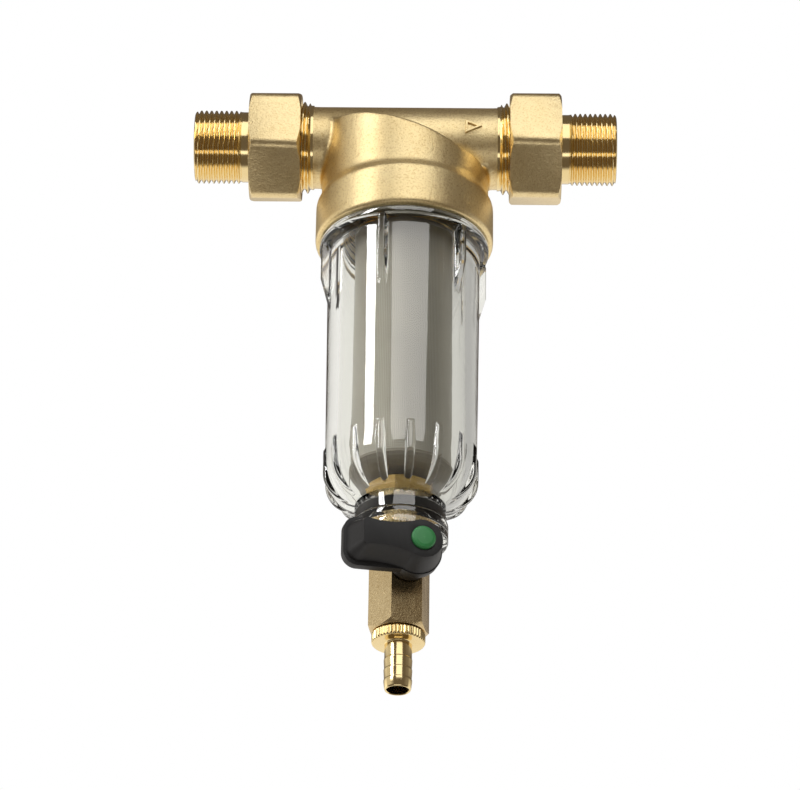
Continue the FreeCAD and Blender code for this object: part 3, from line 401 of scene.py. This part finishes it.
def mask(centres, half, soft, radius):
    d = np.min([np.abs((BT - c + math.pi) % TAU - math.pi) for c in centres], axis=0) * radius
    return 1 - sstep(d, half - soft, half + soft)


def bowl_rows():
    rows = []
    def add(r, z):
        rows.append((z, r))
    add(22.3, -25.0); add(22.6, -24.5); add(23.2, -24.4); add(24.9, -24.4); add(25.3, -24.6); add(25.4, -25.0)
    add(25.4, -26.4); add(25.2, -26.6); add(24.1, -26.65); add(24.0, -26.8); add(24.0, -28.3); add(24.1, -28.45); add(25.2, -28.5)
    add(25.4, -28.7); add(25.4, -31.0); add(25.5, -31.2)
    z = -31.4
    while z > -41.6:
        amp = float(sstep(-z, 31.4, 32.8) * (1 - sstep(-z, 40.0, 41.4)))
        add(26.2 + amp * (screw(z, BT, 3.0, 26.2, 27.7) - 26.2), z)
        z -= 0.3
    add(26.2, -41.8); add(26.3, -42.3); add(26.7, -42.4); add(29.7, -42.4); add(30.05, -42.5); add(30.2, -42.8)
    add(30.2, -44.3); add(30.1, -44.7); add(29.8, -45.0)
    fm = mask(FINS, 1.45, 0.4, 29.0)

    def tube(z):
        return 27.15 + (26.3 - 27.15) * (-z - 45.0) / (129.5 - 45.0)

    def fin(z):
        if -z <= 59.0:
            return 30.15
        return 30.15 + (27.0 - 30.15) * (-z - 59.0) / (70.3 - 59.0)
    for z in (-45.05, -45.3, -45.8, -46.5, -48, -51, -54, -57, -58.3, -59.0, -59.7, -61, -63, -65, -67, -69, -70.5, -72):
        base = tube(z) + 1.6 * (1 - float(sstep(-z, 45.0, 46.6)))
        rows.append((z, base + np.maximum(0, fin(z) - base) * fm))
    for z in (-78, -86, -96, -106, -116, -122, -124.8):
        add(tube(z), z)
    def rib_mask(z):
        half = 0.90 + 0.45 * float(sstep(-z, 126.0, 133.0))
        d = np.min([np.abs((BT - c + math.pi) % TAU - math.pi) for c in RIBS], axis=0) * 25.5
        return np.clip(1 - (d / (half + 0.3)) ** 2.8, 0, 1) ** 0.8
    for z in (-125.2, -125.7, -126.3, -127.0, -127.8, -128.6, -129.4):
        rows.append((z, tube(z) + 0.80 * float(sstep(-z, 125.0, 126.6)) * rib_mask(z)))
    for k in range(1, 31):
        t = math.radians(90.0 * k / 30.0)
        r, z = 15.8 + 10.5 * math.cos(t), -(129.5 + 17.0 * math.sin(t))
        if -z < 134.5:
            rr = 27.10
        else:
            rr = 15.10 + 12.0 * math.cos(math.asin(min(1.0, (-z - 134.5) / 12.0)))
        rows.append((z, r + np.maximum(0, rr - r) * rib_mask(z)))
    add(15.8, -147.2); add(15.8, -152.6); add(15.9, -153.1); add(16.2, -153.35); add(16.5, -153.6); add(16.6, -154.0)
    add(16.6, -156.4); add(16.35, -156.75); add(16.35, -157.1); add(16.6, -157.45)
    add(16.6, -159.6); add(16.45, -160.05); add(16.1, -160.2); add(13.8, -160.2); add(13.5, -160.1); add(13.4, -159.8)
    add(13.4, -148.4); add(13.2, -148.2); add(10.45, -148.2); add(10.25, -148.0); add(10.25, -143.8); add(10.5, -143.5); add(14.0, -143.5)
    for k in range(1, 12):
        t = math.radians(90.0 * k / 12.0)
        add(14 + 8.3 * math.sin(t), -143.5 + 14.5 * (1 - math.cos(t)))
    add(22.3, -129.0); add(22.3, -110); add(22.3, -90); add(22.3, -70); add(22.3, -50); add(22.3, -35)
    return rows


bowl_o = lathe("bowl_moulding", bowl_rows(), "clear", thetas=BT, sharp=50.0)
done(bowl_o, "bowl", "clear_plastic", "filter_bowl")


# rubber seal squeezed against the clear wall, so that the wall shows it black
seal_th = np.linspace(0, TAU, 144, endpoint=False)
seal = lathe("valve_seal_squeezed", [(-148.25, 10.4), (-148.23, 13.2), (-148.5, 13.43), (-151.75, 13.43), (-152.0, 13.2), (-152.02, 10.4)], "rubber")
done(seal, "bowl", "black_rubber", "valve_body_seal")


# hose nozzle: clean fluting on the flange and three shallow barbs
def nozzle_turned():
    teeth = 44
    th = np.linspace(0, TAU, teeth * 8, endpoint=False)
    ph = np.mod(th * teeth / TAU, 1.0)
    cut = 0.42 * (0.5 - 0.5 * np.cos(TAU * ph)) ** 1.6
    rows = [(-215.0, 3.95), (-214.75, 3.75), (-185.0, 3.7), (-185.0, 5.8), (-185.5, 6.3)]
    z = -185.7
    while z > -193.6:
        rows.append((z, screw(z, th, 1.5, 5.55, 6.3)))
        z -= 0.25
    rows += [(-193.8, 6.2), (-194.3, 6.2), (-194.3, 8.6)]
    rows += [(-194.34, 8.75 - 0.2 * cut), (-194.55, 9.05 - 0.8 * cut), (-194.8, 9.15 - cut), (-195.6, 9.15 - cut), (-196.6, 9.15 - cut), (-197.4, 9.15 - cut),
             (-197.7, 9.05 - 0.8 * cut), (-197.93, 8.75 - 0.2 * cut), (-198.0, 8.55), (-198.0, 8.2), (-198.0, 6.6), (-198.0, 5.3), (-198.1, 4.95), (-198.3, 4.75), (-198.7, 4.68)]
    rows += [(-203.5, 4.68), (-203.8, 4.72), (-203.9, 4.80), (-204.0, 4.84), (-204.4, 4.84), (-207.3, 4.68), (-207.5, 4.70), (-207.65, 4.82), (-207.75, 4.85), (-208.2, 4.84),
             (-211.1, 4.68), (-211.3, 4.70), (-211.45, 4.82), (-211.55, 4.85), (-212.2, 4.83), (-214.4, 4.55), (-214.8, 4.42), (-215.0, 4.2)]
    return lathe("nozzle_turned", rows, "turned_z", thetas=th, sharp=38.0)


# tailpieces with a cut thread
def tailpiece(side, sgn):
    k = 160
    th = np.linspace(0, TAU, k, endpoint=False)
    less = 0.17 if sgn > 0 else 0.0
    crest, root = 13.22 - less, 12.06 - less
    rows = [(47.0, 10.0), (47.0, 15.1), (47.15, 15.45), (47.5, 15.7), (50.7, 15.7), (51.0, 15.55), (51.0, 13.4), (51.1, 12.95), (51.4, 12.72 - less),
            (58.6, 12.72 - less), (59.1, 12.75 - less)]
    x = 59.3
    while x < 75.95:
        amp = float(sstep(x, 59.2, 60.8))
        r = screw(x, th, 1.814, root, crest)
        r = np.maximum(r, root + (1 - amp) * 0.5)
        r = np.minimum(r, crest - (1 - amp) * 0.45)
        if x > 75.2:
            r = np.minimum(r, crest - (x - 75.2) * 0.9)
        rows.append((x, r))
        x += 0.13
    rows += [(76.1, 12.3 - less), (76.2, 12.05 - less), (76.2, 10.7), (76.05, 10.35), (75.6, 10.0), (68.0, 10.0), (58.0, 10.0)]
    rows = [(sgn * a, b) for a, b in rows]
    o = lathe(side + "_tailpiece_cut", rows, "turned_x", "X", th, 40.0)
    done(o, side + "_tail", "turned_brass", side + "_tailpiece")


tailpiece("inlet", -1)
tailpiece("outlet", 1)


# head casting: rounded edges, filleted joins, and cut threads at both ends
def head_casting():
    src = nodes["head_body"]
    me = src.data.copy()
    o = bpy.data.objects.new("head_blank", me)
    scene.collection.objects.link(o)
    o.matrix_world = src.matrix_world.copy()
    rm = o.modifiers.new("skin", "REMESH")
    rm.mode = "VOXEL"
    rm.voxel_size = 0.00050
    rm.use_smooth_shade = True
    bpy.context.view_layer.update()
    dg = bpy.context.evaluated_depsgraph_get()
    m2 = bpy.data.meshes.new_from_object(o.evaluated_get(dg), depsgraph=dg)
    m2.transform(o.matrix_world)
    bpy.data.objects.remove(o)
    n = len(m2.vertices)
    co = np.empty(n * 3)
    m2.vertices.foreach_get("co", co)
    co = co.reshape(-1, 3) / MM
    ed = np.empty(len(m2.edges) * 2, dtype=np.int64)
    m2.edges.foreach_get("vertices", ed)
    ed = ed.reshape(-1, 2)
    deg = np.bincount(ed.ravel(), minlength=n).astype(float)[:, None]

    def relax(p, w, times):
        for _ in range(times):
            s = np.zeros_like(p)
            np.add.at(s, ed[:, 0], p[ed[:, 1]])
            np.add.at(s, ed[:, 1], p[ed[:, 0]])
            p = p + (s / np.maximum(deg, 1) - p) * w
        return p
    x, y, z = co[:, 0], co[:, 1], co[:, 2]
    rp = np.hypot(y, z)
    rb = np.hypot(x, y)
    outside = ((rp > 14.6) & (np.abs(x) > 24)) | (rb > 28.7) | ((rp > 14.6) & (z > -16))
    join = np.exp(-((rp - 15.4) / 2.2) ** 2) * np.exp(-((rb - 30.0) / 2.6) ** 2)
    lid = np.exp(-((rp - 15.4) / 2.0) ** 2) * (rb < 30.5) * (z > -15)
    w = np.where(outside, np.clip(0.10 + 0.9 * np.maximum(join, 0.55 * lid), 0, 0.62), 0.0)[:, None]
    co = relax(co, np.where(outside, 0.5, 0.25)[:, None], 4)
    co = relax(co, w, 26)
    m2.vertices.foreach_set("co", (co * MM).ravel())
    bm = bmesh.new()
    bm.from_mesh(m2)
    gone = [v for v in bm.verts if abs(v.co.x) > 0.0336]
    bmesh.ops.delete(bm, geom=gone, context="VERTS")
    bm.to_mesh(m2)
    bm.free()
    m2.polygons.foreach_set("use_smooth", [True] * len(m2.polygons))
    m2.materials.clear()
    m2.materials.append(M["cast_brass"])
    h = bpy.data.objects.new("head_casting", m2)
    scene.collection.objects.link(h)
    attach(h, "head")
    ends = []
    th = np.linspace(0, TAU, 180, endpoint=False)
    for side, sgn in (("inlet", -1), ("outlet", 1)):
        rows = [(33.2, 10.5), (33.2, 15.25), (33.9, 15.3)]
        xx = 34.1
        while xx < 44.7:
            a = float(sstep(xx, 34.1, 35.0))
            r = screw(xx, th, 2.309, 15.15, 16.62, 0.16, 0.80)
            r = np.minimum(r, 15.3 + a * 1.4)
            if xx > 43.6:
                r = np.minimum(r, 16.62 - (xx - 43.6) * 1.2)
            rows.append((xx, r))
            xx += 0.16
        rows += [(44.9, 15.05), (45.0, 14.85), (45.0, 10.9), (44.9, 10.6), (44.6, 10.5), (40.0, 10.5)]
        e = lathe(side + "_head_thread", [(sgn * p, q) for p, q in rows], "turned_x", "X", th, 40.0)
        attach(e, "head")
        ends.append(e)
    # raised flow arrow
    pts = [(21.6, 2.7), (27.5, 0.0), (21.6, -2.7)]
    g = (sum(p[0] for p in pts) / 3, 0.0)
    def outline_pts(scale, step=10):
        out = []
        for i in range(3):
            a, b = pts[i], pts[(i + 1) % 3]
            for j in range(step):
                t = j / step
                out.append((g[0] + ((a[0] * (1 - t) + b[0] * t) - g[0]) * scale, (a[1] * (1 - t) + b[1] * t) * scale))
        return out
    loops = []
    for scale, rad in ((1.03, 14.9), (1.0, 15.55), (0.95, 15.82), (0.60, 15.82), (0.55, 15.55), (0.52, 14.9)):
        loops.append([(px, -math.sqrt(rad * rad - pz * pz), pz) for px, pz in outline_pts(scale)])
    rings = np.array(loops)
    v, f = ring_grid(rings * MM)
    arrow = mesh_object("flow_arrow", v, f, "cast_brass", 60.0)
    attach(arrow, "head")
    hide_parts("head_body")
    return h


head_o = head_casting()
for side in ("inlet", "outlet"):
    softened(side + "_union_nut", 0.55, side + "_nut", "cast_brass", "nut_brass", 24.0)
softened("handle", 0.55, "lever", "lever_black", "lever", 30.0, 4)
softened("valve_body", 0.22, "bowl", "valve_brass", "valve_brass", 30.0)
done(nozzle_turned(), "nozzle", "turned_brass", "hose_nozzle")


# ------------------------------------------------------------------ stage, lights, camera
def camera():
    hd, cz, e0, fpx = 1.145, -0.7294, math.radians(28.72), 3732.0
    roll, az = math.radians(0.85), math.radians(0.8)
    loc = Vector((hd * math.sin(az), -hd * math.cos(az), cz))
    fwd = Vector((-math.sin(az) * math.cos(e0), math.cos(az) * math.cos(e0), math.sin(e0)))
    right = Vector((math.cos(az), math.sin(az), 0))
    up = right.cross(fwd)
    r2 = right * math.cos(roll) + up * math.sin(roll)
    u2 = -right * math.sin(roll) + up * math.cos(roll)
    cam = bpy.data.cameras.new("camera")
    cam.sensor_fit = "HORIZONTAL"
    cam.sensor_width = 36.0
    cam.lens = fpx / 800.0 * 36.0
    cam.shift_x = -2.0 / 800.0
    cam.clip_start = 0.05
    cam.clip_end = 20.0
    co = bpy.data.objects.new("camera", cam)
    scene.collection.objects.link(co)
    m = Matrix((( r2.x, u2.x, -fwd.x, loc.x), (r2.y, u2.y, -fwd.y, loc.y), (r2.z, u2.z, -fwd.z, loc.z), (0, 0, 0, 1)))
    co.matrix_world = m
    scene.camera = co
    return co


cam = camera()


def area(name, az, el, dist, w, h, radiance, color=(1, 1, 1), aim=(0, 0, -0.09), only=None, skip=None, spread=180.0):
    """Softbox. az from the front (-Y) toward +X and el above the horizontal, seen from the object; w and h in metres."""
    a, e = math.radians(az), math.radians(el)
    d = Vector((math.sin(a) * math.cos(e), -math.cos(a) * math.cos(e), math.sin(e)))
    L = bpy.data.lights.new(name, "AREA")
    L.shape = "RECTANGLE"
    L.size, L.size_y = w, h
    L.energy = radiance * math.pi * w * h
    L.color = color
    L.spread = math.radians(spread)
    o = bpy.data.objects.new(name, L)
    scene.collection.objects.link(o)
    o.location = Vector(aim) + d * dist
    o.rotation_euler = (-d).to_track_quat("-Z", "Y").to_euler()
    o.visible_camera = False
    o.visible_transmission = False
    col = bpy.data.collections.new(name + "_lit")
    if only or skip:
        for q in only or skip:
            col.objects.link(q)
        if skip:
            for c in col.collection_objects:
                c.light_linking.link_state = "EXCLUDE"
        o.light_linking.receiver_collection = col
    return o


def span(deg, dist):
    return 2 * dist * math.tan(math.radians(deg) / 2)


def world():
    w = bpy.data.worlds.new("studio")
    scene.world = w
    w.use_nodes = True
    nt = w.node_tree
    nt.nodes.clear()
    out = nt.nodes.new("ShaderNodeOutputWorld")
    lp = nt.nodes.new("ShaderNodeLightPath")
    tc = nt.nodes.new("ShaderNodeTexCoord")
    sep = nt.nodes.new("ShaderNodeSeparateXYZ")
    nt.links.new(tc.outputs["Generated"], sep.inputs[0])

    def step(src, a, b):
        m = nt.nodes.new("ShaderNodeMapRange")
        m.interpolation_type = "SMOOTHSTEP"
        m.inputs["From Min"].default_value = a
        m.inputs["From Max"].default_value = b
        nt.links.new(src, m.inputs["Value"])
        return m.outputs["Result"]

    def mul(a, b):
        return math_node(nt, "MULTIPLY", a, b)

    def add(a, b):
        return math_node(nt, "ADD", a, b)

    def colour(val, tint):
        c = nt.nodes.new("ShaderNodeCombineXYZ")
        for i in range(3):
            nt.links.new(mul(val, tint[i]), c.inputs[i])
        return c.outputs[0]

    def blend_c(a, c, f):
        m = node(nt, "ShaderNodeMix", data_type="RGBA")
        nt.links.new(f, m.inputs["Factor"])
        nt.links.new(a, m.inputs[6])
        nt.links.new(c, m.inputs[7])
        return m.outputs[2]

    def background(c):
        g = nt.nodes.new("ShaderNodeBackground")
        nt.links.new(c, g.inputs[0])
        g.inputs[1].default_value = 1.0
        return g.outputs[0]

    def mixed(f, a, c):
        m = nt.nodes.new("ShaderNodeMixShader")
        nt.links.new(f, m.inputs[0])
        nt.links.new(a, m.inputs[1])
        nt.links.new(c, m.inputs[2])
        return m.outputs[0]

    x, y, z = sep.outputs["X"], sep.outputs["Y"], sep.outputs["Z"]
    inside = step(lp.outputs["Transmission Depth"], 0.4, 0.6)
    far_right = add(mul(mul(inside, step(x, 0.0, 0.40)), -0.62), 1.0)
    back = mul(mul(step(y, 0.02, 0.30), step(z, 0.55, 0.05)), far_right)
    left = mul(mul(step(x, -0.45, -0.95), step(z, -0.35, 0.05)), step(z, 0.9, 0.5))
    right = mul(mul(step(x, 0.75, 1.0), step(z, -0.2, 0.1)), step(z, 0.8, 0.5))
    base = add(add(mul(back, 0.80), mul(left, 0.50)), add(mul(right, 0.10), 0.02))
    low = add(mul(inside, add(mul(step(z, -0.12, -0.5), 0.16), 0.27)), 0.115)
    room_c = nt.nodes.new("ShaderNodeVectorMath")
    room_c.operation = "ADD"
    nt.links.new(colour(base, (1.0, 0.985, 0.965)), room_c.inputs[0])
    nt.links.new(colour(low, (1.0, 0.80, 0.63)), room_c.inputs[1])
    env = background(room_c.outputs[0])
    # what shows through the clear wall: white behind, greyer toward the right and the front
    side = add(mul(step(x, -0.06, 0.10), -0.22), add(mul(step(x, 0.12, 0.6), -0.20), 0.90))
    front = add(mul(step(y, -0.30, 0.25), 0.62), 0.38)
    seen = background(colour(mul(side, front), (1.0, 0.992, 0.955)))
    white = background(colour(add(mul(x, 0.0), 1.0), (1.0, 1.0, 1.0)))
    thru = mixed(lp.outputs["Is Transmission Ray"], env, seen)
    nt.links.new(mixed(lp.outputs["Is Camera Ray"], thru, white), out.inputs[0])


scene.view_settings.view_transform = "Standard"
scene.view_settings.look = "None"
world()
GLASS = [o for o in scene.objects if o.type == "MESH" and any(m is M["clear"] for m in o.data.materials)]
SCREEN = [o for o in scene.objects if o.type == "MESH" and any(m is M["mesh"] for m in o.data.materials)]
VALVE = [o for o in scene.objects if o.type == "MESH" and any(m is M["valve_brass"] for m in o.data.materials)]
TURNED = [o for o in scene.objects if o.type == "MESH" and any(m in (M["turned_x"], M["turned_z"]) for m in o.data.materials)]
area("strip_left_turned", -50, 30, 1.3, span(20, 1.3), span(44, 1.3), 5.0, only=TURNED)
area("strip_left", -50, 30, 1.3, span(20, 1.3), span(44, 1.3), 2.6, skip=GLASS + SCREEN)
area("panel_front", 11, 37, 1.3, span(47, 1.3), span(53, 1.3), 1.25, skip=GLASS + VALVE)
area("panel_front_valve", 11, 37, 1.3, span(47, 1.3), span(53, 1.3), 0.42, only=VALVE)
area("strip_low", 0, -47.5, 1.9, span(50, 1.9), span(11, 1.9), 1.3, skip=GLASS)
area("strip_left_clear", -49, 30, 1.3, span(13, 1.3), span(44, 1.3), 22.0, only=GLASS)
area("panel_front_clear", 10.5, 37, 1.3, span(47, 1.3), span(53, 1.3), 4.9, (1.0, 0.985, 0.965), only=GLASS)

me = bpy.data.meshes.new("floor")
me.from_pydata([(-12, -12, -3.2), (12, -12, -3.2), (12, 12, -3.2), (-12, 12, -3.2)], [], [(0, 1, 2, 3)])
floor = bpy.data.objects.new("floor", me)
scene.collection.objects.link(floor)
fm, fnt, fbs, _ = new_mat("floor_pale")
fv = obj_coord(fnt)
floor_tone = ramp(fnt, noise(fnt, fv, 3.0, 2.0), [(0.3, (0.84, 0.84, 0.835)), (0.7, (0.89, 0.89, 0.885))])
fnt.links.new(floor_tone, fbs.inputs["Base Color"])
fnt.links.new(floor_tone, fbs.inputs["Emission Color"])
fbs.inputs["Emission Strength"].default_value = 0.75
fbs.inputs["Roughness"].default_value = 0.7
floor.data.materials.append(fm)
floor.visible_glossy = False
floor.visible_transmission = False
floor.visible_diffuse = False
